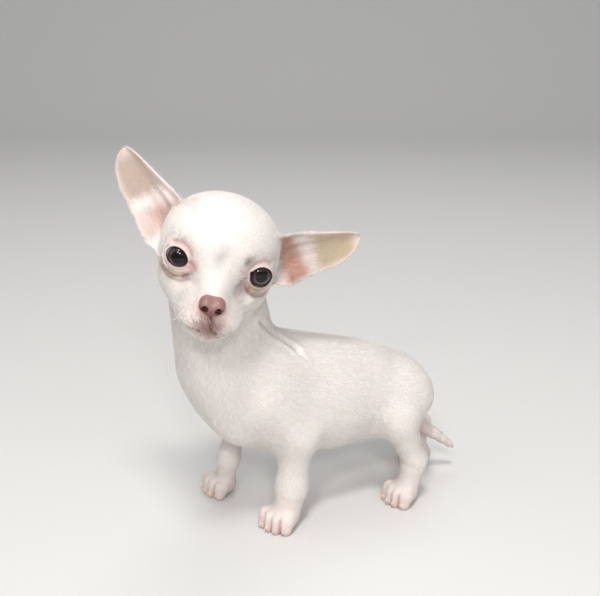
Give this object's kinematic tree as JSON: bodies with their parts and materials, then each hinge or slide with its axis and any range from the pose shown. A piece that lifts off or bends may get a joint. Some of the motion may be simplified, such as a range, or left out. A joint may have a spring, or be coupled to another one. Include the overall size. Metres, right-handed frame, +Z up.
{
  "type": "chihuahua",
  "caption": "Life-size still model of a smooth-coated chihuahua puppy standing with its head turned and tilted, large ears out to the sides and its tail hanging",
  "frame": {"origin": "middle of the bounding box at floor level, under the chest", "axes": "+X the way the body points, +Y the dog's left side, +Z up; the floor is the plane Z = 0"},
  "size_m": [0.1964, 0.0996, 0.2084],
  "materials": {
    "coat": "short smooth fur, cream white over pink skin, matt",
    "paw": "very short fur over pink skin, matt",
    "ear": "thin skin with sparse down, matt",
    "nose": "fine pebbled skin, slightly moist",
    "eye": "wet, mirror smooth"
  },
  "bodies": {
    "root": {"head": "coat", "neck": "coat", "chest": "coat", "abdomen": "coat", "rump": "coat", "tail": "coat", "foreleg_left_upper": "coat", "foreleg_left_lower": "coat", "hindleg_left_thigh": "coat", "hindleg_left_shank": "coat", "hindleg_left_hock": "coat", "foreleg_right_upper": "coat", "foreleg_right_lower": "coat", "hindleg_right_thigh": "coat", "hindleg_right_shank": "coat", "hindleg_right_hock": "coat", "forepaw_left": "paw", "forepaw_right": "paw", "hindpaw_left": "paw", "hindpaw_right": "paw", "ear_left": "ear", "ear_right": "ear", "nose": "nose", "eye_left": "eye", "eye_right": "eye"}
  },
  "joints": []
}
